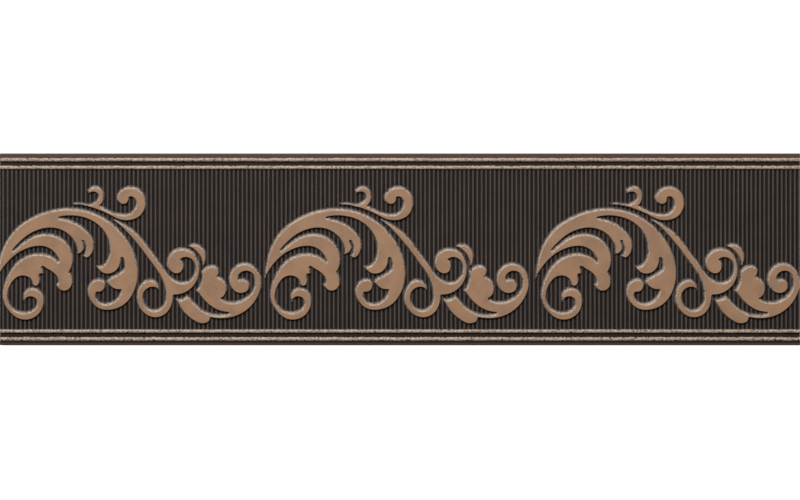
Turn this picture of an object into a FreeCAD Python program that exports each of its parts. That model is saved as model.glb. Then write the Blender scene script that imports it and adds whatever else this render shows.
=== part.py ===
import FreeCAD, Part
import math
import os

import Sketcher

# Relief border tile: one pressed and glazed ceramic strip that edges a tiled wall.
# Frame: x along the strip, y up the pattern, z out of the face, with the back's middle at the origin.

os.makedirs("parts", exist_ok=True)
doc = FreeCAD.newDocument("border_tile")
UP = FreeCAD.Vector(0, 0, 1)


# Sizes in mm, one row each, and below them the sizes that follow from these
sheet = doc.addObject("Spreadsheet::Sheet", "sizes")
SIZES = (
    ("tile_length", "300", "along the strip"),
    ("tile_width", "72", "across the strip"),
    ("body_thickness", "8", "back to the ground that the mouldings and scrolls stand on"),
    ("edge_radius", "0.6", "rounding of the two long upper edges"),
    ("bead_radius", "0.8", "half-round mouldings"),
    ("bead_edge_distance", "2.6", "long edge to the outer bead's centre"),
    ("bead_pitch", "2.9", "outer bead to inner bead"),
    ("relief_height", "1", "scrolls above the ground"),
    ("motif_count", "3", "repeats of the scroll"),
    ("motif_gap", "2.3", "between repeats"),
    ("motif_overrun", "1.25", "first leaf's tip past the left end, where the repeat is cut"),
    ("motif_right_gap", "0.45", "last scroll to the right end"),
    ("motif_top_gap", "5.8", "scroll to the upper inner bead"),
    ("motif_bottom_gap", "2.4", "scroll to the lower inner bead"),
    ("key_count", "5", "keying grooves in the back"),
    ("key_width", "6", "one keying groove"),
    ("key_pitch", "12", "one keying groove to the next"),
    ("key_depth", "0.6", "keying groove into the back"),
    ("key_end_margin", "12", "plain back at each end"),
    ("panel_height",
     "=tile_width - 2 * (bead_edge_distance + bead_pitch + bead_radius)",
     "between inner beads"),
    ("motif_length",
     "=(tile_length + motif_overrun - motif_right_gap - (motif_count - 1) * motif_gap) / motif_count",
     "one repeat of the scroll"),
    ("motif_height", "=panel_height - motif_top_gap - motif_bottom_gap", "scroll across the strip"),
)
for row, (name, value, note) in enumerate(SIZES, start=1):
    sheet.set("A%d" % row, name)
    sheet.set("B%d" % row, value)
    sheet.set("C%d" % row, note)
    sheet.setAlias("B%d" % row, name)
doc.recompute()

body = doc.addObject("PartDesign::Body", "border_tile")
body.Label = "border_tile"


# Helpers: a sketch on one of the body's planes, and a loop of lines tied corner to corner
def origin_part(role):
    return next(item for item in body.Origin.OriginFeatures if item.Role == role)


def sketch_on(plane, name):
    sketch = body.newObject("Sketcher::SketchObject", name)
    sketch.AttachmentSupport = (origin_part(plane), [""])
    sketch.MapMode = "FlatFace"
    return sketch


def loop_of_lines(sketch, corners):
    points = [FreeCAD.Vector(x, y, 0) for x, y in corners]
    first = sketch.GeometryCount
    count = len(points)
    for index in range(count):
        sketch.addGeometry(Part.LineSegment(points[index], points[(index + 1) % count]), False)
    for index in range(count):
        following = (index + 1) % count
        sketch.addConstraint(Sketcher.Constraint("Coincident", first + index, 2, first + following, 1))


def driven(sketch, kind, places, name, formula, start):
    index = sketch.addConstraint(Sketcher.Constraint(kind, *places, start))
    sketch.renameConstraint(index, name)
    sketch.setExpression("Constraints." + name, formula)


# Slab: the pressed body, a plain block with its two long upper edges eased
outline = sketch_on("XY_Plane", "tile_outline")
half_x, half_y = sheet.tile_length / 2, sheet.tile_width / 2
loop_of_lines(outline, ((-half_x, -half_y), (half_x, -half_y), (half_x, half_y), (-half_x, half_y)))
for line in (0, 2):
    outline.addConstraint(Sketcher.Constraint("Horizontal", line))
for line in (1, 3):
    outline.addConstraint(Sketcher.Constraint("Vertical", line))
outline.addConstraint(Sketcher.Constraint("Symmetric", 0, 1, 1, 2, -1, 1))
driven(outline, "DistanceX", (0, 1, 0, 2), "length", "sizes.tile_length", sheet.tile_length)
driven(outline, "DistanceY", (1, 1, 1, 2), "width", "sizes.tile_width", sheet.tile_width)

slab = body.newObject("PartDesign::Pad", "slab")
slab.Profile = outline
slab.setExpression("Length", "sizes.body_thickness")
doc.recompute()

NEAR = 0.01
long_edges = []
for number, edge in enumerate(slab.Shape.Edges, start=1):
    middle = edge.CenterOfMass
    if abs(middle.z - sheet.body_thickness) < NEAR and abs(middle.x) < NEAR:
        long_edges.append("Edge%d" % number)
eased = body.newObject("PartDesign::Fillet", "eased_edges")
eased.Base = (slab, long_edges)
eased.setExpression("Radius", "sizes.edge_radius")
doc.recompute()


# Beads: a pair of half-round mouldings along the upper edge, mirrored to the lower one
bead_profile = sketch_on("YZ_Plane", "bead_profile")
level, radius = sheet.body_thickness, sheet.bead_radius
outer = half_y - sheet.bead_edge_distance
for number, centre in enumerate((outer, outer - sheet.bead_pitch)):
    circle = Part.Circle(FreeCAD.Vector(centre, level, 0), UP, radius)
    arc = bead_profile.addGeometry(Part.ArcOfCircle(circle, 0, math.pi), False)
    left, right = FreeCAD.Vector(centre - radius, level, 0), FreeCAD.Vector(centre + radius, level, 0)
    line = bead_profile.addGeometry(Part.LineSegment(left, right), False)
    bead_profile.addConstraint(Sketcher.Constraint("Coincident", arc, 2, line, 1))
    bead_profile.addConstraint(Sketcher.Constraint("Coincident", arc, 1, line, 2))
    bead_profile.addConstraint(Sketcher.Constraint("Horizontal", line))
    bead_profile.addConstraint(Sketcher.Constraint("PointOnObject", arc, 3, line))
    driven(bead_profile, "Radius", (arc,), "radius_%d" % number, "sizes.bead_radius", radius)
    driven(bead_profile, "DistanceY", (-1, 1, line, 1), "level_%d" % number,
           "sizes.body_thickness", level)
    driven(bead_profile, "DistanceX", (-1, 1, arc, 3), "place_%d" % number,
           "sizes.tile_width / 2 - sizes.bead_edge_distance - %d * sizes.bead_pitch" % number, centre)

beads = body.newObject("PartDesign::Pad", "upper_beads")
beads.Profile = bead_profile
beads.Midplane = True
beads.setExpression("Length", "sizes.tile_length")
doc.recompute()

both_beads = body.newObject("PartDesign::Mirrored", "lower_beads")
both_beads.Originals = [beads]
both_beads.MirrorPlane = (origin_part("XZ_Plane"), [""])
body.Tip = both_beads
doc.recompute()


# Scrolls, drawn in mm from the left end of a repeat and from the middle of the strip.
# An outline is a chain of runs with corners between them: two points are a line, more a smooth curve.
GREAT_LEAF = (
    # outer edge, from the tip over the crown and round the great volute
    ((-0.9, -10.7), (0.9, -0.9), (3.9, 5.4), (9.0, 10.1), (16.1, 13.9), (25.5, 15.4), (33.8, 14.4),
     (41.3, 10.3), (47.6, 3.9), (51.2, -3.9), (51.6, -11.8), (48.8, -18.6), (43.9, -21.9),
     (39.0, -22.5), (34.9, -20.4), (33.2, -15.9), (34.1, -12.2), (36.8, -10.7), (39.4, -11.7)),
    # ball and inside of the volute
    ((39.4, -11.7), (38.9, -14.9), (36.3, -15.7)),
    ((36.3, -15.7), (36.2, -17.8), (37.3, -19.3), (39.4, -20.0), (41.8, -19.6), (44.0, -18.0),
     (45.5, -14.7)),
    # spur over the volute: underside, top and slit
    ((45.5, -14.7), (42.3, -14.3), (40.1, -12.0)),
    ((40.1, -12.0), (41.0, -10.3), (44.0, -9.0), (46.6, -7.1)),
    ((46.6, -7.1), (46.7, -5.0), (45.4, -2.2)),
    # hook: outside, inside, and the long slot under the arch
    ((45.4, -2.2), (45.3, -4.7), (43.4, -7.9), (39.8, -9.1), (36.3, -6.2)),
    ((36.3, -6.2), (39.2, -5.4), (40.8, -2.4), (41.1, 0.9), (40.0, 5.0), (35.7, 9.6), (21.2, 12.1)),
    # first lobe: top, split tip and underside
    ((21.2, 12.1), (25.5, 11.2), (30.4, 9.0), (34.0, 5.3), (35.3, 0.9), (34.2, -2.0), (32.3, -3.0)),
    ((32.3, -3.0), (31.3, -2.3)),
    ((31.3, -2.3), (32.3, 0.9), (31.1, 3.8)),
    ((31.1, 3.8), (31.5, 0.2), (29.0, -1.5)),
    ((29.0, -1.5), (28.6, 1.6), (25.9, 5.5), (21.6, 8.0), (17.6, 8.2), (12.0, 5.9), (3.7, -1.6)),
    # second lobe: top, bulb, and underside to the fine slit
    ((3.7, -1.6), (9.0, 2.5), (16.0, 6.0), (22.3, 4.9), (25.9, 1.6), (27.6, -3.2), (26.0, -8.2)),
    ((26.0, -8.2), (27.1, -11.0), (26.3, -14.4), (23.5, -15.4), (21.1, -13.0)),
    ((21.1, -13.0), (22.1, -11.7), (21.0, -9.7), (17.6, -7.6), (15.0, -4.8)),
    # third lobe: slit, beak and bulb
    ((15.0, -4.8), (15.9, -6.8), (16.3, -8.8)),
    ((16.3, -8.8), (15.0, -8.9)),
    ((15.0, -8.9), (14.8, -10.6), (15.0, -12.3), (13.9, -13.5), (12.3, -13.0)),
    # lower scroll: inside, then outside and over the third lobe
    ((12.3, -13.0), (11.3, -10.8), (9.0, -9.7), (6.0, -10.7), (3.7, -14.1), (3.1, -18.0),
     (4.4, -21.2), (7.5, -23.1), (10.6, -23.1), (13.1, -21.8), (13.8, -19.5), (11.9, -17.3),
     (9.4, -19.5)),
    ((9.4, -19.5), (8.8, -17.0), (10.2, -14.8), (12.8, -14.2), (15.2, -15.4), (16.6, -18.4),
     (16.2, -21.7), (13.4, -24.9), (9.6, -26.2), (5.4, -24.8), (2.0, -20.8), (1.1, -15.9),
     (2.6, -10.3), (6.0, -5.1), (10.7, -2.0), (17.0, -1.4), (22.8, -5.6)),
    # slot under the second lobe, back to the tip
    ((22.8, -5.6), (21.6, -3.0), (19.1, 0.1), (15.6, 1.6), (11.0, 0.8), (5.0, -2.9), (-0.9, -10.7)),
)
CREST = (
    # large curl: underside and outside, then inside
    ((27.4, 17.2), (33.5, 16.2), (38.0, 14.5), (42.8, 12.2), (47.2, 11.0), (51.4, 11.9),
     (54.2, 14.9), (54.5, 19.2), (52.4, 22.6), (48.9, 23.8), (45.4, 22.5), (43.7, 20.0),
     (44.3, 18.0), (46.6, 17.0), (48.4, 19.7)),
    ((48.4, 19.7), (49.3, 20.0), (50.6, 18.7), (50.9, 16.6), (49.7, 14.6), (47.6, 13.4),
     (44.4, 13.6), (40.7, 15.0), (37.4, 16.6)),
    # small curl: outside, blunt end and inside
    ((37.4, 16.6), (38.6, 17.9), (39.1, 20.1), (38.3, 22.6), (36.0, 23.9), (34.1, 23.4),
     (33.0, 22.2)),
    ((33.0, 22.2), (33.5, 21.2)),
    ((33.5, 21.2), (35.2, 21.7), (36.6, 20.8), (36.8, 19.3), (35.6, 18.0), (31.0, 17.9),
     (27.4, 17.2)),
)
STEM = (
    # top of the stem and inside of the right volute
    ((42.9, 11.1), (45.4, 10.3), (50.0, 7.3), (54.6, 2.3), (58.9, -3.4), (63.0, -8.7),
     (65.8, -11.4), (69.0, -12.3), (71.8, -10.6), (73.0, -7.0), (71.8, -3.7), (69.4, -2.7),
     (67.6, -3.6)),
    # ball and outside of the right volute
    ((67.6, -3.6), (68.8, -5.2), (68.6, -7.4), (66.5, -8.9), (64.1, -8.2), (62.7, -5.4),
     (63.3, -2.0), (66.2, 0.3), (70.0, 0.4), (73.5, -2.2), (74.9, -6.9), (72.4, -13.8),
     (65.1, -16.8)),
    # outside of the left volute
    ((65.1, -16.8), (64.6, -20.0), (62.2, -23.9), (58.2, -25.4), (54.0, -23.8), (51.5, -19.4),
     (51.8, -14.7), (54.0, -11.6), (57.2, -11.2), (59.4, -13.0), (59.6, -15.1)),
    # inside of the left volute and underside of the stem
    ((59.6, -15.1), (58.2, -14.1), (56.0, -14.1), (54.1, -17.1), (54.6, -20.6), (57.3, -22.6),
     (60.2, -21.7), (62.0, -18.6), (61.8, -14.2), (59.4, -9.4), (54.6, -2.0), (48.8, 5.2),
     (42.9, 11.1)),
)
PETAL = (
    ((70.8, 1.4), (73.0, 2.4), (75.9, 0.9), (77.2, -2.2), (76.2, -5.9)),
    ((76.2, -5.9), (73.9, -1.0), (70.8, 1.4)),
)
TAIL = (
    # bud: left side, upper lobe and right lobe
    ((73.6, -15.2), (75.4, -11.8), (75.6, -8.1)),
    ((75.6, -8.1), (77.4, -6.5), (80.2, -5.8), (82.1, -7.0), (81.1, -9.9)),
    ((81.1, -9.9), (83.4, -11.0), (85.0, -13.6), (84.6, -16.4), (82.6, -18.1)),
    # tail volute: inside, then ball and outside
    ((82.6, -18.1), (85.5, -19.4), (89.5, -19.1), (93.2, -16.9), (95.4, -13.0), (94.7, -9.2),
     (91.9, -7.9), (89.5, -9.4), (89.6, -11.2)),
    ((89.6, -11.2), (92.3, -11.2), (93.6, -13.2), (92.3, -15.6), (89.6, -16.2), (86.8, -14.6),
     (85.8, -11.1), (87.2, -7.1), (90.9, -4.9), (95.0, -6.0), (97.6, -9.6), (97.8, -14.4),
     (95.3, -19.7), (88.0, -24.8), (78.8, -25.2)),
    # tail leaf: end and underside, then top
    ((78.8, -25.2), (78.7, -26.5), (77.3, -27.3), (73.4, -26.7), (69.8, -24.4), (67.4, -21.4),
     (66.1, -18.5)),
    ((66.1, -18.5), (68.3, -18.3), (70.2, -17.2)),
    # slot between the leaf and the bud
    ((70.2, -17.2), (71.8, -18.5), (73.6, -20.6), (76.4, -22.8), (79.5, -24.0), (83.0, -24.1),
     (87.3, -23.4)),
    ((87.3, -23.4), (84.5, -23.2), (80.8, -22.2), (77.5, -19.8), (73.6, -15.2)),
)

# The drawing is fitted to one repeat: its left and right ends, and its highest and lowest points
DRAWN_LEFT, DRAWN_RIGHT = -0.9, 97.8
DRAWN_TOP, DRAWN_BOTTOM = 23.9, -27.3
repeat_left = -half_x - sheet.motif_overrun
repeat_bottom = -sheet.panel_height / 2 + sheet.motif_bottom_gap
stretch_x = sheet.motif_length / (DRAWN_RIGHT - DRAWN_LEFT)
stretch_y = sheet.motif_height / (DRAWN_TOP - DRAWN_BOTTOM)
STRAIGHT = 1e-6


def placed(point):
    x, y = point
    return FreeCAD.Vector(repeat_left + (x - DRAWN_LEFT) * stretch_x,
                          repeat_bottom + (y - DRAWN_BOTTOM) * stretch_y, 0)


# A run is drawn as arcs that meet without a kink: at each point it has the direction of the circle
# through that point and its neighbours, and two arcs (a biarc) lead from one point to the next.
def direction_at(points, index):
    middle = min(max(index, 1), len(points) - 2)
    circle = Part.Circle(points[middle - 1], points[middle], points[middle + 1])
    direction = UP.cross(points[index] - circle.Center).normalize()
    onward = points[min(index + 1, len(points) - 1)] - points[max(index - 1, 0)]
    return direction if direction.dot(onward) > 0 else -direction


def arc_from(start, direction, end):
    chord = end - start
    side = UP.cross(direction)
    if abs(side.dot(chord)) < STRAIGHT:
        return Part.LineSegment(start, end)
    radius = chord.dot(chord) / (2 * side.dot(chord))
    centre = start + side * radius
    crown = ((start + end) / 2 - centre).normalize() * abs(radius)
    return Part.Arc(start, centre + crown, end)


def biarc(start, leaving, end, arriving):
    chord = end - start
    along = chord.dot(leaving + arriving)
    spread = 2 * (1 - leaving.dot(arriving))
    if spread < STRAIGHT:
        reach = chord.dot(chord) / (2 * along)
    else:
        reach = (math.sqrt(along ** 2 + spread * chord.dot(chord)) - along) / spread
    joint = (start + end + (leaving - arriving) * reach) / 2
    return [arc_from(start, leaving, joint), arc_from(end, -arriving, joint)]


def drawn_run(run):
    points = [placed(point) for point in run]
    if len(points) == 2:
        return [Part.LineSegment(*points)]
    last = len(points) - 1
    stops = list(range(0, last, 2)) + [last]
    arcs = []
    for stop, following in zip(stops, stops[1:]):
        leaving, arriving = direction_at(points, stop), direction_at(points, following)
        arcs += biarc(points[stop], leaving, points[following], arriving)
    return arcs


scroll_outline = sketch_on("XY_Plane", "scroll_outline")
scroll_outline.setExpression("AttachmentOffset.Base.z", "sizes.body_thickness")
runs = GREAT_LEAF + CREST + STEM + PETAL + TAIL
scroll_outline.addGeometry([arc for run in runs for arc in drawn_run(run)], False)
doc.recompute()

scroll = body.newObject("PartDesign::Pad", "scroll")
scroll.Profile = scroll_outline
scroll.setExpression("Length", "sizes.relief_height")
doc.recompute()

scrolls = body.newObject("PartDesign::LinearPattern", "scrolls")
scrolls.Originals = [scroll]
scrolls.Direction = (scroll_outline, ["H_Axis"])
scrolls.setExpression("Length", "(sizes.motif_count - 1) * (sizes.motif_length + sizes.motif_gap)")
scrolls.setExpression("Occurrences", "sizes.motif_count")
body.Tip = scrolls
doc.recompute()


# Cut end: the first leaf's tip passes the left end and is cut off flush with it
cut_outline = sketch_on("XY_Plane", "cut_end_outline")
cut_depth = 2 * sheet.motif_overrun
loop_of_lines(cut_outline, ((-half_x - cut_depth, -half_y), (-half_x, -half_y),
                            (-half_x, half_y), (-half_x - cut_depth, half_y)))
for line in (0, 2):
    cut_outline.addConstraint(Sketcher.Constraint("Horizontal", line))
cut_outline.addConstraint(Sketcher.Constraint("Vertical", 3))
cut_outline.addConstraint(Sketcher.Constraint("Symmetric", 1, 1, 1, 2, -1))
driven(cut_outline, "DistanceX", (0, 1, 0, 2), "depth", "2 * sizes.motif_overrun", cut_depth)
driven(cut_outline, "DistanceY", (1, 1, 1, 2), "width", "sizes.tile_width", sheet.tile_width)
driven(cut_outline, "DistanceX", (1, 1, -1, 1), "end", "sizes.tile_length / 2", half_x)

cut_end = body.newObject("PartDesign::Pocket", "cut_end")
cut_end.Profile = cut_outline
cut_end.Type = "ThroughAll"
cut_end.Midplane = True
doc.recompute()


# Back: shallow keying grooves for the adhesive, stopping short of the ends
key_outline = sketch_on("XY_Plane", "key_outline")
key_x = half_x - sheet.key_end_margin
key_low = -(sheet.key_count - 1) * sheet.key_pitch / 2 - sheet.key_width / 2
loop_of_lines(key_outline, ((-key_x, key_low), (key_x, key_low),
                            (key_x, key_low + sheet.key_width), (-key_x, key_low + sheet.key_width)))
key_outline.addConstraint(Sketcher.Constraint("Horizontal", 2))
for line in (1, 3):
    key_outline.addConstraint(Sketcher.Constraint("Vertical", line))
key_outline.addConstraint(Sketcher.Constraint("Symmetric", 0, 1, 0, 2, -2))
driven(key_outline, "DistanceX", (0, 1, 0, 2), "length",
       "sizes.tile_length - 2 * sizes.key_end_margin", 2 * key_x)
driven(key_outline, "DistanceY", (1, 1, 1, 2), "width", "sizes.key_width", sheet.key_width)
driven(key_outline, "DistanceY", (0, 1, -1, 1), "place",
       "(sizes.key_count - 1) * sizes.key_pitch / 2 + sizes.key_width / 2", -key_low)

key = body.newObject("PartDesign::Pocket", "key")
key.Profile = key_outline
key.Reversed = True
key.setExpression("Length", "sizes.key_depth")
doc.recompute()

keys = body.newObject("PartDesign::LinearPattern", "keys")
keys.Originals = [key]
keys.Direction = (key_outline, ["V_Axis"])
keys.setExpression("Length", "(sizes.key_count - 1) * sizes.key_pitch")
keys.setExpression("Occurrences", "sizes.key_count")
body.Tip = keys
doc.recompute()


# Checks, then the one solid goes out
for item in doc.Objects:
    if "Invalid" in item.State or "Error" in item.State:
        raise RuntimeError("%s did not build: %s" % (item.Name, item.State))


def volume_of(feature):
    return feature.Shape.Volume


for before, after in ((slab, eased), (scrolls, cut_end), (cut_end, key), (key, keys)):
    if volume_of(after) >= volume_of(before):
        raise RuntimeError("%s cut nothing" % after.Name)
for before, after in ((eased, beads), (beads, both_beads), (both_beads, scroll), (scroll, scrolls)):
    if volume_of(after) <= volume_of(before):
        raise RuntimeError("%s added nothing" % after.Name)

shape = body.Shape
if shape.isNull() or not shape.isValid() or len(shape.Solids) != 1:
    raise RuntimeError("the tile is not one valid solid")
shape.exportStep("parts/border_tile.step")
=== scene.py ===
import math

import bmesh
import bpy
from mathutils import Matrix, Vector, noise
from mathutils.geometry import delaunay_2d_cdt
from mathutils.kdtree import KDTree


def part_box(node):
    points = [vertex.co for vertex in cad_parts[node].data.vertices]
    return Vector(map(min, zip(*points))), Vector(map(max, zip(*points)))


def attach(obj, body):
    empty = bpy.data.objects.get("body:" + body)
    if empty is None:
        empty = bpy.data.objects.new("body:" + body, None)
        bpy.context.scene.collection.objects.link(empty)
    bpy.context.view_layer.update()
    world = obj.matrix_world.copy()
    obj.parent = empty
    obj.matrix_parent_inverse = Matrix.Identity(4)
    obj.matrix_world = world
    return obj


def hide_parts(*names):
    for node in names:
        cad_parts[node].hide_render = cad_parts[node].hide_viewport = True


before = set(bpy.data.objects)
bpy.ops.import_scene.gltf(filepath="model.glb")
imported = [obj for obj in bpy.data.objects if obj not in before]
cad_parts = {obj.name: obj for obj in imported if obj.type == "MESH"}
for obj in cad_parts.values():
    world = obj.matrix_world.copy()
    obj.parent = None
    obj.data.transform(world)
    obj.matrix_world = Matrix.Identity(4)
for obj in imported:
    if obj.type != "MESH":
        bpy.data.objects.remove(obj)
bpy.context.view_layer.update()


# Tile body: a strip of pressed clay with a plain margin and a sunk quirk along each long edge.
# Its section is drawn once and pushed out to the strip's length, and its ends are softened.
# The tile is drawn in mm and brought to metres when its shape is done.
MM = 0.001
tile_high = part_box("border_tile")[1] / MM
HALF_LENGTH, HALF_WIDTH = tile_high.x, tile_high.y
GROUND = 8.0
EDGE_RADIUS = 0.6
EDGE_STEPS = 4
BACK_CHAMFER = 0.5
QUIRK = (HALF_WIDTH - 3.15, HALF_WIDTH - 4.67)
QUIRK_DEPTH = 0.3
END_BEVEL = 0.18
END_STEPS = 2
# a face looks along an axis when its normal's share on that axis is over this
SQUARE_ON = 0.9


def take_up(piece):
    """Selects one piece alone, for the next operators to work on."""
    bpy.ops.object.select_all(action="DESELECT")
    piece.select_set(True)
    bpy.context.view_layer.objects.active = piece


def new_piece(name, corners, edges, faces):
    mesh = bpy.data.meshes.new(name)
    mesh.from_pydata(corners, edges, faces)
    piece = bpy.data.objects.new(name, mesh)
    bpy.context.scene.collection.objects.link(piece)
    take_up(piece)
    return piece


def bar_of_section(name, section, travel):
    """A closed bar: the section is filled and pushed out by the travel."""
    count = len(section)
    bar = new_piece(name, section, [(at, (at + 1) % count) for at in range(count)], [])
    bpy.ops.object.mode_set(mode="EDIT")
    bpy.ops.mesh.select_all(action="SELECT")
    bpy.ops.mesh.edge_face_add()
    bpy.ops.mesh.extrude_region_move(TRANSFORM_OT_translate={"value": travel})
    bpy.ops.mesh.select_all(action="SELECT")
    bpy.ops.mesh.normals_make_consistent(inside=False)
    bpy.ops.object.mode_set(mode="OBJECT")
    return bar


def arc(centre_y, centre_z, radius, last_angle, steps):
    """Points round a centre, from straight out to the last angle in degrees."""
    angles = [math.radians(last_angle * at / steps) for at in range(steps + 1)]
    return [(centre_y + radius * math.cos(a), centre_z + radius * math.sin(a)) for a in angles]


half_section = [(HALF_WIDTH - BACK_CHAMFER, 0), (HALF_WIDTH, BACK_CHAMFER)]
half_section += arc(HALF_WIDTH - EDGE_RADIUS, GROUND - EDGE_RADIUS, EDGE_RADIUS, 90, EDGE_STEPS)
half_section += [(QUIRK[0], GROUND), (QUIRK[0], GROUND - QUIRK_DEPTH)]
half_section += [(QUIRK[1], GROUND - QUIRK_DEPTH), (QUIRK[1], GROUND)]
section = half_section + [(-y, z) for y, z in reversed(half_section)]
tile = bar_of_section("glazed_border_tile", [(-HALF_LENGTH, y, z) for y, z in section],
                      (2 * HALF_LENGTH, 0, 0))

bpy.ops.object.mode_set(mode="EDIT")
bpy.ops.mesh.select_mode(type="FACE")
bpy.ops.mesh.select_all(action="DESELECT")
bpy.ops.object.mode_set(mode="OBJECT")
for face in tile.data.polygons:
    face.select = abs(face.normal.x) > SQUARE_ON
bpy.ops.object.mode_set(mode="EDIT")
bpy.ops.mesh.region_to_loop()
bpy.ops.mesh.bevel(offset=END_BEVEL, segments=END_STEPS, affect="EDGES", clamp_overlap=True)
bpy.ops.object.mode_set(mode="OBJECT")


# Beads: two half-round mouldings along each long edge, one on each side of the quirk.
# They are run by hand along the mould, so their height and line waver a little.
OUTER_BEAD, INNER_BEAD = HALF_WIDTH - 2.46, HALF_WIDTH - 5.36
BEAD_RADIUS = 0.73
BEAD_STEPS = 8
BEAD_ROOT = GROUND - 0.5
BEAD_END = HALF_LENGTH - END_BEVEL
BEAD_ROUNDS = 2
BEAD_CUTS = 15
LENGTHWISE = 1
WAVER = 0.07
WAVER_LENGTH = 2.2
# the line's waver is read this far from the height's in the noise, so that the two differ
LINE_WAVER_AT = 50
HAIR = 0.01


def cut_or_joined(piece, operation, tool):
    """Cuts a tool out of a piece, or joins it on, and puts the tool away."""
    step = piece.modifiers.new(operation, "BOOLEAN")
    step.operation = operation
    step.solver = "EXACT"
    step.object = tool
    take_up(piece)
    bpy.ops.object.modifier_apply(modifier=operation)
    bpy.data.objects.remove(tool)


for centre in (OUTER_BEAD, INNER_BEAD, -INNER_BEAD, -OUTER_BEAD):
    bead_section = arc(centre, GROUND, BEAD_RADIUS, 180, BEAD_STEPS)
    bead_section += [(centre - BEAD_RADIUS, BEAD_ROOT), (centre + BEAD_RADIUS, BEAD_ROOT)]
    bead = bar_of_section("bead", [(-BEAD_END, y, z) for y, z in bead_section], (2 * BEAD_END, 0, 0))
    for _ in range(BEAD_ROUNDS):
        bpy.ops.object.mode_set(mode="EDIT")
        bpy.ops.mesh.select_mode(type="EDGE")
        bpy.ops.mesh.select_all(action="DESELECT")
        bpy.ops.object.mode_set(mode="OBJECT")
        for edge in bead.data.edges:
            start, end = (bead.data.vertices[corner].co for corner in edge.vertices)
            edge.select = abs(end.x - start.x) > LENGTHWISE
        bpy.ops.object.mode_set(mode="EDIT")
        bpy.ops.mesh.subdivide(number_cuts=BEAD_CUTS)
        bpy.ops.object.mode_set(mode="OBJECT")
    for vertex in bead.data.vertices:
        if vertex.co.z > GROUND - HAIR:
            run = vertex.co.x / WAVER_LENGTH
            swell = 1 + 2 * WAVER * noise.noise((run, centre, vertex.co.y))
            vertex.co.z = GROUND + min((vertex.co.z - GROUND) * swell, BEAD_RADIUS + WAVER)
            vertex.co.y += WAVER * noise.noise((run, centre + LINE_WAVER_AT, 0))
    cut_or_joined(tile, "UNION", bead)


# Reeded ground: fine round-topped ribs pressed across the panel between the beads.
# The hollows are cut from the body by one bar whose underside is the wave of the ribs.
REED_PITCH = 1.63
FIRST_HOLLOW = -HALF_LENGTH + 0.505
REED_CREST = GROUND - 0.03
PANEL_CLEARANCE = 0.02
PANEL_HALF = INNER_BEAD - BEAD_RADIUS - WAVER - PANEL_CLEARANCE
CUTTER_TOP = GROUND + 0.5
PAST_END = 1
# half a rib: share of the half pitch from the hollow's middle, and depth below the crest
HALF_REED = ((0.2, 0.4), (0.38, 0.34), (0.58, 0.16), (0.78, 0.03), (1.0, 0.0))

wave = [(-HALF_LENGTH - PAST_END, REED_CREST)]
hollow = FIRST_HOLLOW
while hollow < HALF_LENGTH + REED_PITCH:
    rising = [(hollow + share * REED_PITCH / 2, REED_CREST - depth) for share, depth in HALF_REED]
    wave += [(2 * hollow - x, z) for x, z in reversed(rising[:-1])] + rising
    hollow += REED_PITCH
reed_section = wave + [(wave[-1][0], CUTTER_TOP), (wave[0][0], CUTTER_TOP)]
reed_cutter = bar_of_section("reed_cutter", [(x, -PANEL_HALF, z) for x, z in reed_section],
                             (0, 2 * PANEL_HALF, 0))
cut_or_joined(tile, "DIFFERENCE", reed_cutter)


# Acanthus scrolls: the raised leaf pattern, pressed with the body in one piece, three repeats.
# The outlines are those of the solid tile. As in carved work, the edge of a leaf that looks up and
# to the left is a broad bevel, and the edge that looks down drops steeply, so thin stems are ridges.
LOOPS_IN_REPEAT = 5
RELIEF = tile_high.z - GROUND
# how far each repeat lies off an even pitch, and all of them off the solid's line
REPEAT_SHIFTS = (0.44, -0.45, -0.06)
DROP = -0.08
# how much fuller the outline is, how much more on thin stems, and the half thickness of those
FULLER = 0.19
FULLER_STEM = 0.2
THIN_STEM = 0.6
STEM_STEP = 0.05
STEM_SMOOTHING = 4
# bevel: mean width, how far it leans to the lit edges, where those look, least width that is rounded
BEVEL_MEAN = 0.8
BEVEL_LEAN = 0.58
BEVEL_FACES = Vector((-0.35, 0.94)).normalized()
BROAD_BEVEL = 0.75
# its section: share of its width in from the outline, and share of the relief's height
BEVEL = ((0.0, 0.0), (0.12, 0.16), (0.45, 0.52), (0.78, 0.87), (0.9, 0.965), (1.0, 1.0))
BEVEL_REACHES = [share for share, height in BEVEL[1:]]
LUMP_HEIGHT = 0.07
LUMP_SPACING = 0.9
# foot: how far out from the outline its rings lie, and how steeply it falls
FOOT = (0.2, 0.4)
FOOT_SLOPE = 1.25
# steps and limits of the drawing
LONGEST_STEP = 0.6
SAMPLE_STEP = 0.05
CORNER_ANGLE = math.radians(25)
FAN_ANGLE = math.radians(35)
LONGEST_MITRE = 8
RIDGE_HALVINGS = 8
LONGEST_RIDGE = 1.0
CLOSEST = 0.1
# a spot is its outline's own while no outline lies nearer than this share of the spot's way
SURE = 0.96
# sheet that carries the leaves: its underside, how far it runs past the tile, and where it is cut
SHEET_BOTTOM = GROUND - 0.7
SHEET_PAST = 1.5
CUT_END = HALF_LENGTH - 0.1
SAME_POINT = 0.0001


def scroll_loops(solid):
    """Outlines, in mm, of the level tops of the solid tile."""
    merged = bmesh.new()
    merged.from_mesh(solid.data)
    bmesh.ops.remove_doubles(merged, verts=merged.verts, dist=HAIR * MM)
    top = (tile_high.z - HAIR) * MM
    tops = {face for face in merged.faces
            if face.normal.z > SQUARE_ON and face.calc_center_median().z > top}
    rim = [edge for edge in merged.edges if sum(face in tops for face in edge.link_faces) == 1]
    untaken = set(rim)
    loops = []
    for first in rim:
        if first not in untaken:
            continue
        untaken.discard(first)
        start, corner = first.verts
        loop = [start]
        while corner != start:
            loop.append(corner)
            edge = next(other for other in corner.link_edges if other in untaken)
            untaken.discard(edge)
            corner = edge.other_vert(corner)
        loops.append([corner.co.xy / MM for corner in loop])
    merged.free()
    return loops


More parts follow.
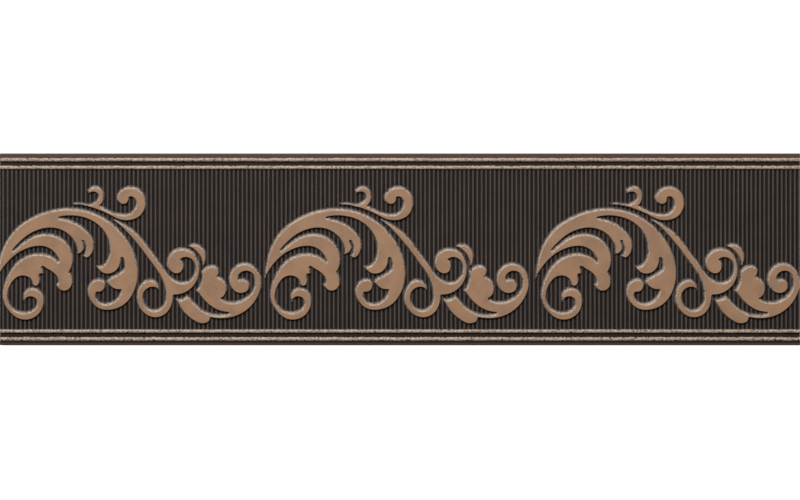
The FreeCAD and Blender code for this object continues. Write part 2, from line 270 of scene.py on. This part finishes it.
def middle_x(loop):
    return (min(p.x for p in loop) + max(p.x for p in loop)) / 2


def turned_left(loop):
    area = sum(a.cross(b) for a, b in zip(loop, loop[1:] + loop[:1]))
    return loop if area > 0 else loop[::-1]


def in_steps(loop, longest):
    points = []
    for a, b in zip(loop, loop[1:] + loop[:1]):
        parts = math.ceil((b - a).length / longest)
        points += [a.lerp(b, part / parts) for part in range(parts)]
    return points


def tree_of(points):
    tree = KDTree(len(points))
    for number, point in enumerate(points):
        tree.insert((point.x, point.y, 0), number)
    tree.balance()
    return tree


def up_leaf(inward):
    """The move across a full bevel, long on edges that look the way of the lit ones."""
    return BEVEL_MEAN * inward - BEVEL_LEAN * BEVEL_FACES


def off_leaf(outward):
    """The move of one mm straight out from a leaf."""
    return outward


def turned(way, angle):
    return Vector((way.x * math.cos(angle) - way.y * math.sin(angle),
                   way.x * math.sin(angle) + way.y * math.cos(angle)))


def moves_off(before, point, after, side, move_of):
    """Moves from an outline point to its places on a ring that lies one full width off the outline."""
    arriving, leaving = (point - before).normalized(), (after - point).normalized()
    first, last = (Vector((-way.y, way.x)) * side for way in (arriving, leaving))
    turn = -arriving.angle_signed(leaving)
    if turn * side < -FAN_ANGLE:
        steps = math.ceil(abs(turn) / FAN_ANGLE)
        return [move_of(turned(first, turn * step / steps)) for step in range(steps + 1)]
    if turn * side > CORNER_ANGLE:
        near, far = first.dot(move_of(first)), last.dot(move_of(last))
        crossing = Vector((near * last.y - far * first.y, far * first.x - near * last.x))
        mitre = crossing / first.cross(last)
        return [mitre] if mitre.length < LONGEST_MITRE else []
    return [move_of(turned(first, turn / 2))]


def neighbours(loop):
    """Each item of a closed loop between the one before it and the one after it."""
    return zip(loop[-1:] + loop[:-1], loop, loop[1:] + loop[:1])


def near_to(tree, point):
    return tree.find((point.x, point.y, 0))[2]


def half_thickness(point, inward, tree):
    """How far in from an outline point the leaf's middle line lies, up to a thin stem's half."""
    reach, further = 0, STEM_STEP
    while further < THIN_STEM and near_to(tree, point + inward * further) > further * SURE:
        reach, further = further, further + STEM_STEP
    return reach


def fuller(loop, tree):
    """The outline set out by a hair, and by more along thin stems."""
    thickness = []
    for before, point, after in neighbours(loop):
        along = (after - before).normalized()
        thickness.append(half_thickness(point, Vector((-along.y, along.x)), tree))
    for _ in range(STEM_SMOOTHING):
        thickness = [sum(three) / 3 for three in neighbours(thickness)]
    spots = []
    for half, (before, point, after) in zip(thickness, neighbours(loop)):
        by = FULLER + FULLER_STEM * max(0, 1 - half / THIN_STEM)
        for move in moves_off(before, point, after, -1, off_leaf):
            spot = point + move * by
            clear = not spots or (spot - spots[-1]).length > CLOSEST / 2
            if clear and near_to(tree, spot) > by * SURE:
                spots.append(spot)
    return spots


# the middle repeat of the solid is the drawing for all three
loops = [turned_left(loop) for loop in scroll_loops(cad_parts["border_tile"])]
loops.sort(key=middle_x)
repeat_pitch = middle_x(loops[2 * LOOPS_IN_REPEAT]) - middle_x(loops[LOOPS_IN_REPEAT])
drawing = [in_steps(loop, LONGEST_STEP) for loop in loops[LOOPS_IN_REPEAT:2 * LOOPS_IN_REPEAT]]
solid_tree = tree_of([point for loop in drawing for point in in_steps(loop, SAMPLE_STEP)])
drawing = [in_steps(fuller(loop, solid_tree), LONGEST_STEP) for loop in drawing]
samples = [point for loop in drawing for point in in_steps(loop, SAMPLE_STEP)]
outline_tree = tree_of(samples)


def from_outline(point):
    return near_to(outline_tree, point)


def up_bevel(point):
    """Share of the bevel's width that a point of a leaf lies in from the outline, up to 1."""
    square = BEVEL_MEAN ** 2 - BEVEL_LEAN ** 2
    least = 1.0
    for _, number, distance in outline_tree.find_range((point.x, point.y, 0), BEVEL_MEAN + BEVEL_LEAN):
        lean = BEVEL_LEAN * (samples[number] - point).dot(BEVEL_FACES)
        least = min(least, (math.sqrt(lean ** 2 + square * distance ** 2) - lean) / square)
    return least


def bevel_height(share):
    for (near, low), (far, high) in zip(BEVEL, BEVEL[1:]):
        if share < far:
            return low + (high - low) * (share - near) / (far - near)
    return 1.0


def last_sure(point, move, near, far, share_at):
    """How far along a move the outline it came from is still the nearest one."""
    for _ in range(RIDGE_HALVINGS):
        between = (near + far) / 2
        if share_at(point + move * between) < between * SURE:
            far = between
        else:
            near = between
    return near


def leaf_reaches(move):
    """Rings on the bevel that a move climbs: a broad bevel is rounded, a narrow one a plain chamfer."""
    width = move.dot(move + BEVEL_LEAN * BEVEL_FACES) / BEVEL_MEAN
    return BEVEL_REACHES if width > BROAD_BEVEL else BEVEL_REACHES[-1:]


def foot_reaches(move):
    return FOOT


def rings(outline, side, reaches_of, move_of, share_at):
    """Spots on rings off the outline, and the places where a move meets one from the other side."""
    spots, meetings = [], []
    for before, point, after in neighbours(outline):
        for move in moves_off(before, point, after, side, move_of):
            reached = 0
            for reach in reaches_of(move):
                if share_at(point + move * reach) < reach * SURE:
                    ends_at = last_sure(point, move, reached, reach, share_at)
                    meetings.append((move.length, point + move * ends_at))
                    break
                reached = reach
                spots.append((reach, point + move * reach))
    return spots, meetings


def not_crowded(spots, taken, clearance):
    """The spots, highest first, that lie clear of each other and of points already taken."""
    cells = {}

    def cell_of(point, across=0, up=0):
        return (round(point.x / clearance) + across, round(point.y / clearance) + up)

    for point in taken:
        cells.setdefault(cell_of(point), []).append(point)
    clear = []
    for _, point in sorted(spots, key=lambda spot: -spot[0]):
        around = [other for across in (-1, 0, 1) for up in (-1, 0, 1)
                  for other in cells.get(cell_of(point, across, up), [])]
        if all((point - other).length > clearance for other in around):
            cells.setdefault(cell_of(point), []).append(point)
            clear.append(point)
    return clear


# points of one repeat: rims, ridges of thin stems, rings up the bevels and rings down the feet
rim_points = [point for outline in drawing for point in outline]
leaf_spots, foot_spots, ridge_points, ridge_edges, ridge_lines = [], [], [], [], []
for outline in drawing:
    spots, meetings = rings(outline, 1, leaf_reaches, up_leaf, up_bevel)
    leaf_spots += spots
    steep_meetings = [(0, spot) for length, spot in meetings if length < BEVEL_MEAN]
    ridge = not_crowded(steep_meetings, rim_points, CLOSEST)
    for number, (near, far) in enumerate(zip(ridge, ridge[1:]), len(rim_points) + len(ridge_points)):
        if (far - near).length < LONGEST_RIDGE:
            ridge_edges.append((number, number + 1))
            ridge_lines += in_steps([near, far], CLOSEST)
    ridge_points += ridge
    spots, meetings = rings(outline, -1, foot_reaches, off_leaf, from_outline)
    foot_spots += spots + [(0, spot) for _, spot in meetings]
leaf_points = ridge_points + not_crowded(leaf_spots, rim_points + ridge_points + ridge_lines, CLOSEST)
foot_points = not_crowded(foot_spots, rim_points + leaf_points, CLOSEST)
motif = [(point, GROUND) for point in rim_points]
for point in leaf_points:
    share = bevel_height(up_bevel(point) / SURE)
    lump = noise.noise((point.x / LUMP_SPACING, point.y / LUMP_SPACING, 0))
    motif.append((point, GROUND + RELIEF * share + 4 * share * (1 - share) * LUMP_HEIGHT * lump))
for point in foot_points:
    motif.append((point, GROUND - FOOT_SLOPE * min(from_outline(point), FOOT[-1])))

# one sheet with all three repeats, closed below and cut at the tile's ends
repeat_places = [Vector(((number - 1) * repeat_pitch + shift, DROP))
                 for number, shift in enumerate(REPEAT_SHIFTS)]
sheet_end = HALF_LENGTH + SHEET_PAST
points = [Vector((x, y)) for x in (-sheet_end, sheet_end) for y in (-PANEL_HALF, PANEL_HALF)]
heights = [GROUND - FOOT_SLOPE * FOOT[-1]] * len(points)
drawn_edges = []
for place in repeat_places:
    first = len(points)
    drawn_edges += [(first + a, first + b) for a, b in ridge_edges]
    for outline in drawing:
        numbers = list(range(first, first + len(outline)))
        drawn_edges += zip(numbers, numbers[1:] + numbers[:1])
        first += len(outline)
    points += [point + place for point, _ in motif]
    heights += [height for _, height in motif]
spots, _, sheet_faces, sources, _, _ = delaunay_2d_cdt(points, drawn_edges, [], 0, SAME_POINT)
sheet = [(spot.x, spot.y, heights[min(source)] if source else GROUND)
         for spot, source in zip(spots, sources)]
scrolls = new_piece("scrolls", sheet, [], sheet_faces)
bpy.ops.object.mode_set(mode="EDIT")
bpy.ops.mesh.select_all(action="SELECT")
bpy.ops.mesh.region_to_loop()
bpy.ops.mesh.extrude_edges_move(TRANSFORM_OT_translate={"value": (0, 0, -2 * RELIEF)})
bpy.ops.transform.resize(value=(1, 1, 0), center_override=(0, 0, SHEET_BOTTOM))
bpy.ops.mesh.edge_face_add()
for end in (-1, 1):
    bpy.ops.mesh.select_all(action="SELECT")
    bpy.ops.mesh.bisect(plane_co=(end * CUT_END, 0, 0), plane_no=(end, 0, 0), clear_outer=True)
    bpy.ops.mesh.select_all(action="DESELECT")
    bpy.ops.mesh.select_non_manifold()
    bpy.ops.mesh.edge_face_add()
bpy.ops.mesh.select_all(action="SELECT")
bpy.ops.mesh.normals_make_consistent(inside=False)
bpy.ops.object.mode_set(mode="OBJECT")
cut_or_joined(tile, "UNION", scrolls)


# Keyed back: five shallow grooves pressed into the clay of the back, for the wall's adhesive to grip.
# Their sides slope so that the tile leaves its mould, and they stop short of both ends.
KEY_COUNT = 5
KEY_PITCH = 12
KEY_WIDTH = 6
KEY_DEPTH = 0.6
KEY_DRAFT = 0.25
KEY_TO_END = 12
KEY_BELOW = -0.5
key_start = KEY_TO_END - HALF_LENGTH
half_key = [(KEY_WIDTH / 2, KEY_BELOW), (KEY_WIDTH / 2, 0), (KEY_WIDTH / 2 - KEY_DRAFT, KEY_DEPTH)]
key_section = half_key + [(-y, z) for y, z in reversed(half_key)]
for number in range(KEY_COUNT):
    centre = (number - (KEY_COUNT - 1) / 2) * KEY_PITCH
    corners = [(key_start, centre + y, z) for y, z in key_section]
    cut_or_joined(tile, "DIFFERENCE", bar_of_section("key", corners, (-2 * key_start, 0, 0)))


# Pressed surface: the whole tile, divided at mid-length for its flat pattern and cleared of specks.
# Beads and bevels are shaded round. The ribs, the body and the level tops of the leaves stay flat.
SPECK = 0.001
ROUND_ANGLE = math.radians(40)
ROUND_FROM, ROUND_TO = GROUND - 0.02, tile_high.z - 0.002

take_up(tile)
bpy.ops.object.mode_set(mode="EDIT")
bpy.ops.mesh.select_all(action="SELECT")
bpy.ops.mesh.bisect(plane_co=(0, 0, 0), plane_no=(1, 0, 0))
bpy.ops.mesh.select_all(action="SELECT")
bpy.ops.mesh.remove_doubles(threshold=SPECK)
bpy.ops.object.mode_set(mode="OBJECT")
bpy.ops.object.shade_smooth_by_angle(angle=ROUND_ANGLE)
for face in tile.data.polygons:
    if face.center.z < ROUND_FROM or face.center.z > ROUND_TO:
        face.use_smooth = False


# Rims of the relief: the glaze is palest along the edges of the leaves and on the crowns of the beads,
# partly its lustre and partly a painted highlight.
# Each point holds how deep it lies in its leaf, or how high on its bead, and the glaze reads that.
RELIEF_FROM = GROUND + 0.002


def leaf_depth(point):
    """Distance in from the outline, stretched on thin stems so that their middle counts as deep."""
    nearest, _, distance = outline_tree.find((point.x, point.y, 0))
    if distance > THIN_STEM or distance < HAIR:
        return distance
    inward = (point - nearest.xy) / distance
    return THIN_STEM * distance / max(distance, half_thickness(nearest.xy, inward, outline_tree))


depths = []
for vertex in tile.data.vertices:
    if vertex.co.z < RELIEF_FROM:
        depths.append(0)
    elif abs(vertex.co.y) > PANEL_HALF:
        depths.append(vertex.co.z - GROUND)
    else:
        depths.append(min(leaf_depth(vertex.co.xy - place) for place in repeat_places))
rim_depth = tile.data.attributes.new("rim_depth", "FLOAT", "POINT")
rim_depth.data.foreach_set("value", depths)


# Flat pattern: the tile's surface laid out on one square, for its glaze to be baked on.
# The face lies in two halves, one above the other, and the back, sides and ends lie small above them.
# This is the last work in mm, and the tile is brought to metres after it.
PATTERN_SIDE = 170
PATTERN_GAP = 1.5
REST_SCALE = 0.27
LEAST_UP = 0.05
LEAST_ENDWAYS = 0.5
face_row = 2 * (HALF_WIDTH + PATTERN_GAP)
rest_row = PATTERN_GAP + 2 * face_row
side_row = REST_SCALE * GROUND + PATTERN_GAP
side_column = 2 * REST_SCALE * HALF_LENGTH + 3 * PATTERN_GAP

pattern = tile.data.uv_layers.new(name="OFBake")
tile.data.uv_layers.active = pattern
for face in tile.data.polygons:
    on_face = face.normal.z > LEAST_UP and face.center.z > GROUND / 2
    on_side = abs(face.normal.y) > SQUARE_ON and abs(face.center.y) > HALF_WIDTH - EDGE_RADIUS
    on_end = abs(face.normal.x) > LEAST_ENDWAYS and abs(face.center.x) > HALF_LENGTH - EDGE_RADIUS
    right = face.center.x > 0
    for corner in face.loop_indices:
        spot = tile.data.vertices[tile.data.loops[corner].vertex_index].co
        if on_face:
            u = PATTERN_GAP + spot.x + (0 if right else HALF_LENGTH)
            v = PATTERN_GAP + spot.y + HALF_WIDTH + (face_row if right else 0)
        elif on_side:
            u = side_column + REST_SCALE * (spot.x + HALF_LENGTH)
            v = rest_row + REST_SCALE * spot.z + (side_row if face.normal.y > 0 else 0)
        elif on_end:
            u = side_column + REST_SCALE * (spot.y + HALF_WIDTH)
            v = rest_row + REST_SCALE * spot.z + side_row * (3 if face.normal.x > 0 else 2)
        else:
            u = PATTERN_GAP + REST_SCALE * (spot.x + HALF_LENGTH)
            v = rest_row + REST_SCALE * (spot.y + HALF_WIDTH)
        pattern.data[corner].uv = (u / PATTERN_SIDE, v / PATTERN_SIDE)
tile.data.transform(Matrix.Scale(MM, 4))


# Glaze: a dark brown glaze that lies deep in the hollows and thin on the ribs, with the raised
# leaves in bronze tan and a paler, gritty lustre along their rims and on the beads. That paleness
# is partly a painted highlight, and the brightest grit flecks are painted glints.
# It is fired on, so it is cloudy and ragged at the foot of the leaves. A painted shadow of the
# outer bead darkens the near margin.
HOLLOW_BROWN = (0.0105, 0.0066, 0.005)
RIB_BROWN, RIB_GREY = (0.079, 0.064, 0.056), (0.066, 0.056, 0.052)
MARGIN_BROWN = (0.076, 0.046, 0.036)
GRIT_BROWN, GRIT_MOST = (0.02, 0.015, 0.013), 0.35
BEAD_SHADOW_BROWN, BEAD_SHADOW_MOST = (0.019, 0.0085, 0.005), 0.85
RIM_DULL, RIM_GRIT_GLINT, RIM_FOOT = (0.23, 0.175, 0.135), (0.485, 0.388, 0.31), (0.22, 0.17, 0.135)
BEAD_DULL, BEAD_GRIT_GLINT = (0.205, 0.150, 0.110), (0.47, 0.365, 0.277)
LEAF_TAN, LEAF_SHADE = (0.312, 0.182, 0.103), (0.252, 0.147, 0.086)
MOTTLE_TAN, MOTTLE_MOST = (0.300, 0.168, 0.103), 0.6
# grains: scale and detail
GRIT, CLOUD, LUMP, MOTTLE, SHEEN = (1900, 3), (120, 3), (800, 1), (450, 3), (700, 4)
# limits of the grains between which one colour passes into the next
CLOUD_LIMITS, GROUND_GRIT_LIMITS, GRIT_LIMITS = (0.35, 0.65), (0.4, 0.75), (0.4, 0.6)
MOTTLE_LIMITS, SHEEN_LIMITS = (0.4, 0.7), (0.2, 0.8)
# limits in mm: depth of a rib's pale crest, painted shadow from the near edge to the bead, depths in
# the relief
CREST_DEPTH = 0.36
BEAD_SHADOW_FROM, BEAD_SHADOW_FULL, BEAD_SHADOW_FADE = 0.4, 1.2, 0.2
TOP_LIMITS = (tile_high.z - 0.09, tile_high.z - 0.01)
RIM_LIMITS, RAISED_LIMITS, FOOT_LIMITS = (0.02, 0.15), (0.02, 0.3), (0.2, 1.0)
# how far the ribs and the lumps move the ragged foot of the lustre
RIB_RAGGED, LUMP_RAGGED, LUMP_LEVEL = 0.12, 1.4, -1.56
GLAZE_SPECULAR, GLAZE_ROUGHNESS = 0.12, (0.36, 0.56)
LUSTRE_COAT, LUSTRE_ROUGHNESS = 0.25, 0.42
GRIT_STRENGTH, GRIT_HEIGHT, GRIT_SHARE = 0.4, 0.1, 1.1

glaze = bpy.data.materials.new("brown_lustre_glaze")
glaze.use_nodes = True
nodes, links = glaze.node_tree.nodes, glaze.node_tree.links
shader = nodes["Principled BSDF"]


def object_axes():
    """Places on the tile, in metres, along its length, its width and its height."""
    place = nodes.new("ShaderNodeTexCoord")
    axes = nodes.new("ShaderNodeSeparateXYZ")
    links.new(place.outputs["Object"], axes.inputs[0])
    return axes.outputs


def in_metres(*sizes):
    return [size * MM for size in sizes]


def band(source, limits, results=(0, 1)):
    """A value that passes smoothly from the first result to the second between two limits."""
    ramp = nodes.new("ShaderNodeMapRange")
    ramp.interpolation_type = "SMOOTHSTEP"
    for socket, value in zip(("From Min", "From Max", "To Min", "To Max"), (*limits, *results)):
        ramp.inputs[socket].default_value = value
    links.new(source, ramp.inputs["Value"])
    return ramp.outputs["Result"]


def worked(operation, *values):
    """The result of a sum on numbers and node outputs."""
    sum_node = nodes.new("ShaderNodeMath")
    sum_node.operation = operation
    for socket, value in zip(sum_node.inputs, values):
        if isinstance(value, (int, float)):
            socket.default_value = value
        else:
            links.new(value, socket)
    return sum_node.outputs[0]


def mixed(share, low, high):
    """A colour between two others, each a plain colour or a node output."""
    mix = nodes.new("ShaderNodeMix")
    mix.data_type = "RGBA"
    links.new(share, mix.inputs["Factor"])
    for name, value in (("A", low), ("B", high)):
        target = next(i for i in mix.inputs if i.name == name and i.type == "RGBA")
        if isinstance(value, tuple):
            target.default_value = (*value, 1)
        else:
            links.new(value, target)
    return next(o for o in mix.outputs if o.type == "RGBA")


def bumped(height, strength, depth):
    """Small relief, of a depth in mm, on the surface of the shader at hand."""
    bump = nodes.new("ShaderNodeBump")
    bump.inputs["Strength"].default_value = strength
    bump.inputs["Distance"].default_value = depth * MM
    links.new(height, bump.inputs["Height"])
    links.new(bump.outputs["Normal"], shader.inputs["Normal"])


# the uneven grain of fired clay and glaze, shared by both materials
fired_grain = bpy.data.node_groups.new("fired_grain", "ShaderNodeTree")
for socket in ("Scale", "Detail"):
    fired_grain.interface.new_socket(socket, in_out="INPUT", socket_type="NodeSocketFloat")
fired_grain.interface.new_socket("Grain", in_out="OUTPUT", socket_type="NodeSocketFloat")
grain_place = fired_grain.nodes.new("ShaderNodeTexCoord")
grain_values = fired_grain.nodes.new("NodeGroupInput")
grain_noise = fired_grain.nodes.new("ShaderNodeTexNoise")
grain_result = fired_grain.nodes.new("NodeGroupOutput")
fired_grain.links.new(grain_place.outputs["Object"], grain_noise.inputs["Vector"])
fired_grain.links.new(grain_values.outputs["Scale"], grain_noise.inputs["Scale"])
fired_grain.links.new(grain_values.outputs["Detail"], grain_noise.inputs["Detail"])
fired_grain.links.new(grain_noise.outputs["Fac"], grain_result.inputs["Grain"])


def grain(scale, detail):
    placed = nodes.new("ShaderNodeGroup")
    placed.node_tree = fired_grain
    placed.inputs["Scale"].default_value = scale
    placed.inputs["Detail"].default_value = detail
    return placed.outputs["Grain"]


along, across, up = object_axes()
off_middle = worked("ABSOLUTE", across)
grit = grain(*GRIT)
cloud = band(grain(*CLOUD), CLOUD_LIMITS)

# the ground: dark hollows, pale ribs, browner margins and a painted shadow beside the near outer bead
crest = band(up, in_metres(REED_CREST - CREST_DEPTH, REED_CREST))
margin = band(off_middle, in_metres(INNER_BEAD, INNER_BEAD + BEAD_RADIUS))
crest_colour = mixed(cloud, RIB_BROWN, RIB_GREY)
crest_colour = mixed(margin, crest_colour, MARGIN_BROWN)
ground_colour = mixed(crest, HOLLOW_BROWN, crest_colour)
ground_colour = mixed(band(grit, GROUND_GRIT_LIMITS, (0, GRIT_MOST)), ground_colour, GRIT_BROWN)
# painted shadow: the margin between the near edge and the outer bead, on the side away from the light,
# is darkened
bead_shadow = band(across, in_metres(BEAD_SHADOW_FROM - HALF_WIDTH, BEAD_SHADOW_FULL - HALF_WIDTH), (0, BEAD_SHADOW_MOST))
bead_shadow_end = band(across, in_metres(-OUTER_BEAD - BEAD_SHADOW_FADE, -OUTER_BEAD), (1, 0))
ground_colour = mixed(worked("MULTIPLY", bead_shadow, bead_shadow_end), ground_colour, BEAD_SHADOW_BROWN)

# the relief: where it begins, ragged with the ribs and with lumps, and where its top is level
rib_turn = math.tau / REED_PITCH
first_crest = FIRST_HOLLOW + REED_PITCH / 2
turns = worked("MULTIPLY_ADD", along, rib_turn / MM, -rib_turn * first_crest)
lumps = worked("ADD", grit, grain(*LUMP))
lumps = worked("MULTIPLY_ADD", lumps, LUMP_RAGGED, LUMP_LEVEL)
ragged = worked("MULTIPLY_ADD", worked("COSINE", turns), RIB_RAGGED, lumps)
depth_node = nodes.new("ShaderNodeAttribute")
depth_node.attribute_name = "rim_depth"
depth = depth_node.outputs["Fac"]
top = band(up, in_metres(*TOP_LIMITS))
rim = worked("MULTIPLY", band(depth, RIM_LIMITS), worked("SUBTRACT", 1, top))
raised = band(worked("MULTIPLY_ADD", ragged, rim, depth), RAISED_LIMITS)
on_bead = band(off_middle, in_metres(PANEL_HALF, INNER_BEAD))

# the lustre: pale and gritty on rims and beads, partly a painted highlight with painted glints, tan on
# the level tops
# painted highlight: rims and bead crowns take a paler colour, and the grit's bright flecks are painted
# glints
grit_glints = band(grit, GRIT_LIMITS)
pale = mixed(band(depth, FOOT_LIMITS), RIM_FOOT, mixed(grit_glints, RIM_DULL, RIM_GRIT_GLINT))
pale = mixed(on_bead, pale, mixed(grit_glints, BEAD_DULL, BEAD_GRIT_GLINT))
tan = mixed(cloud, LEAF_TAN, LEAF_SHADE)
tan = mixed(band(grain(*MOTTLE), MOTTLE_LIMITS, (0, MOTTLE_MOST)), tan, MOTTLE_TAN)
links.new(mixed(raised, ground_colour, mixed(top, pale, tan)), shader.inputs["Base Color"])
shader.inputs["Specular IOR Level"].default_value = GLAZE_SPECULAR
shader.inputs["Coat Roughness"].default_value = LUSTRE_ROUGHNESS
links.new(worked("MULTIPLY", raised, LUSTRE_COAT), shader.inputs["Coat Weight"])
links.new(band(grain(*SHEEN), SHEEN_LIMITS, GLAZE_ROUGHNESS), shader.inputs["Roughness"])
grit_share = worked("SUBTRACT", GRIT_SHARE, top)
bumped(worked("MULTIPLY", grit, grit_share), GRIT_STRENGTH, GRIT_HEIGHT)
tile.data.materials.clear()
tile.data.materials.append(glaze)


# Bare biscuit: the fired clay of the back and the lower sides, left without glaze.
# It is pale, pitted and a little stained, and glaze has run over the tile's edge in a ragged line.
CLAY_DARK, CLAY_PALE = (0.53, 0.39, 0.285), (0.61, 0.47, 0.352)
STAIN_BROWN, STAIN_MOST = (0.43, 0.30, 0.21), 0.5
RUN_BROWN = (0.03, 0.021, 0.017)
# grains: scale and detail
CLAY, STAIN, RUN, PITS = (2600, 6), (60, 4), (260, 2), (1100, 5)
CLAY_LIMITS, STAIN_LIMITS = (0.3, 0.7), (0.5, 0.75)
# the run, in mm: how far its edge wanders, and the heights between which it ends
RUN_WANDER, RUN_LIMITS = 6, (8.8, 9.2)
CLAY_ROUGHNESS, RUN_ROUGHNESS = 0.92, 0.45
CLAY_SPECULAR = 0.2
PIT_STRENGTH, PIT_DEPTH = 0.5, 0.15
BARE_LEAN = 0.5

biscuit = bpy.data.materials.new("bare_biscuit")
biscuit.use_nodes = True
nodes, links = biscuit.node_tree.nodes, biscuit.node_tree.links
shader = nodes["Principled BSDF"]
up = object_axes()["Z"]
clay = mixed(band(grain(*CLAY), CLAY_LIMITS), CLAY_DARK, CLAY_PALE)
clay = mixed(band(grain(*STAIN), STAIN_LIMITS, (0, STAIN_MOST)), clay, STAIN_BROWN)
run_edge = worked("MULTIPLY_ADD", grain(*RUN), RUN_WANDER * MM, up)
run = band(run_edge, in_metres(*RUN_LIMITS))
links.new(mixed(run, clay, RUN_BROWN), shader.inputs["Base Color"])
links.new(band(run, (0, 1), (CLAY_ROUGHNESS, RUN_ROUGHNESS)), shader.inputs["Roughness"])
shader.inputs["Specular IOR Level"].default_value = CLAY_SPECULAR
bumped(grain(*PITS), PIT_STRENGTH, PIT_DEPTH)
tile.data.materials.append(biscuit)
for face in tile.data.polygons:
    low = face.center.z < (GROUND - EDGE_RADIUS) * MM
    face.material_index = 1 if low and face.normal.z < BARE_LEAN else 0

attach(tile, "root")
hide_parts("border_tile")


# Floor, light and camera: a pale floor, on which the tile lies on its back with its face up.
# Soft light falls from beyond the far edge, a little from the left, and the camera looks straight
# down, so close that the tile's length fills the picture.
FLOOR_HALF = 3.0
FLOOR_GREY = (0.3, 0.3, 0.3, 1)
FLOOR_ROUGHNESS = 0.9
FLOOR_GLOW = 0.95
WHITE = (1, 1, 1, 1)
floor = new_piece("floor", [(-FLOOR_HALF, -FLOOR_HALF, 0), (FLOOR_HALF, -FLOOR_HALF, 0),
                            (FLOOR_HALF, FLOOR_HALF, 0), (-FLOOR_HALF, FLOOR_HALF, 0)],
                  [], [(0, 1, 2, 3)])
paper = bpy.data.materials.new("pale_floor")
paper.use_nodes = True
paper_shader = paper.node_tree.nodes["Principled BSDF"]
paper_shader.inputs["Base Color"].default_value = FLOOR_GREY
paper_shader.inputs["Roughness"].default_value = FLOOR_ROUGHNESS
paper_shader.inputs["Emission Color"].default_value = WHITE
paper_shader.inputs["Emission Strength"].default_value = FLOOR_GLOW
floor.data.materials.append(paper)

LIGHT_DISTANCE = 1.3
LIGHT_ELEVATION = math.radians(54)
LIGHT_TURN = math.radians(12)
LIGHT_SIZE = 0.45
LIGHT_ENERGY = 19.6
light_data = bpy.data.lights.new("key_light", "AREA")
light_data.size = LIGHT_SIZE
light_data.energy = LIGHT_ENERGY
light = bpy.data.objects.new("key_light", light_data)
light_reach = LIGHT_DISTANCE * math.cos(LIGHT_ELEVATION)
light.location = (-light_reach * math.sin(LIGHT_TURN), light_reach * math.cos(LIGHT_TURN),
                  LIGHT_DISTANCE * math.sin(LIGHT_ELEVATION))
light.rotation_euler = (-light.location).to_track_quat("-Z", "Y").to_euler()
bpy.context.scene.collection.objects.link(light)

SKY_STRENGTH = 0.18
sky = bpy.data.worlds.new("studio")
sky.use_nodes = True
sky_shader = sky.node_tree.nodes["Background"]
sky_shader.inputs["Color"].default_value = WHITE
sky_shader.inputs["Strength"].default_value = SKY_STRENGTH
bpy.context.scene.world = sky

LENS = 100
SENSOR = 36
CAMERA_NEARER = 0.25
CROPPED_END = 0.15
seen_length = 2 * (HALF_LENGTH - CROPPED_END)
camera_data = bpy.data.cameras.new("camera")
camera_data.lens = LENS
camera_data.sensor_width = SENSOR
camera = bpy.data.objects.new("camera", camera_data)
camera.location = (0, -CAMERA_NEARER * MM, (GROUND + seen_length * LENS / SENSOR) * MM)
bpy.context.scene.collection.objects.link(camera)
bpy.context.scene.camera = camera
bpy.context.scene.view_settings.view_transform = "Standard"
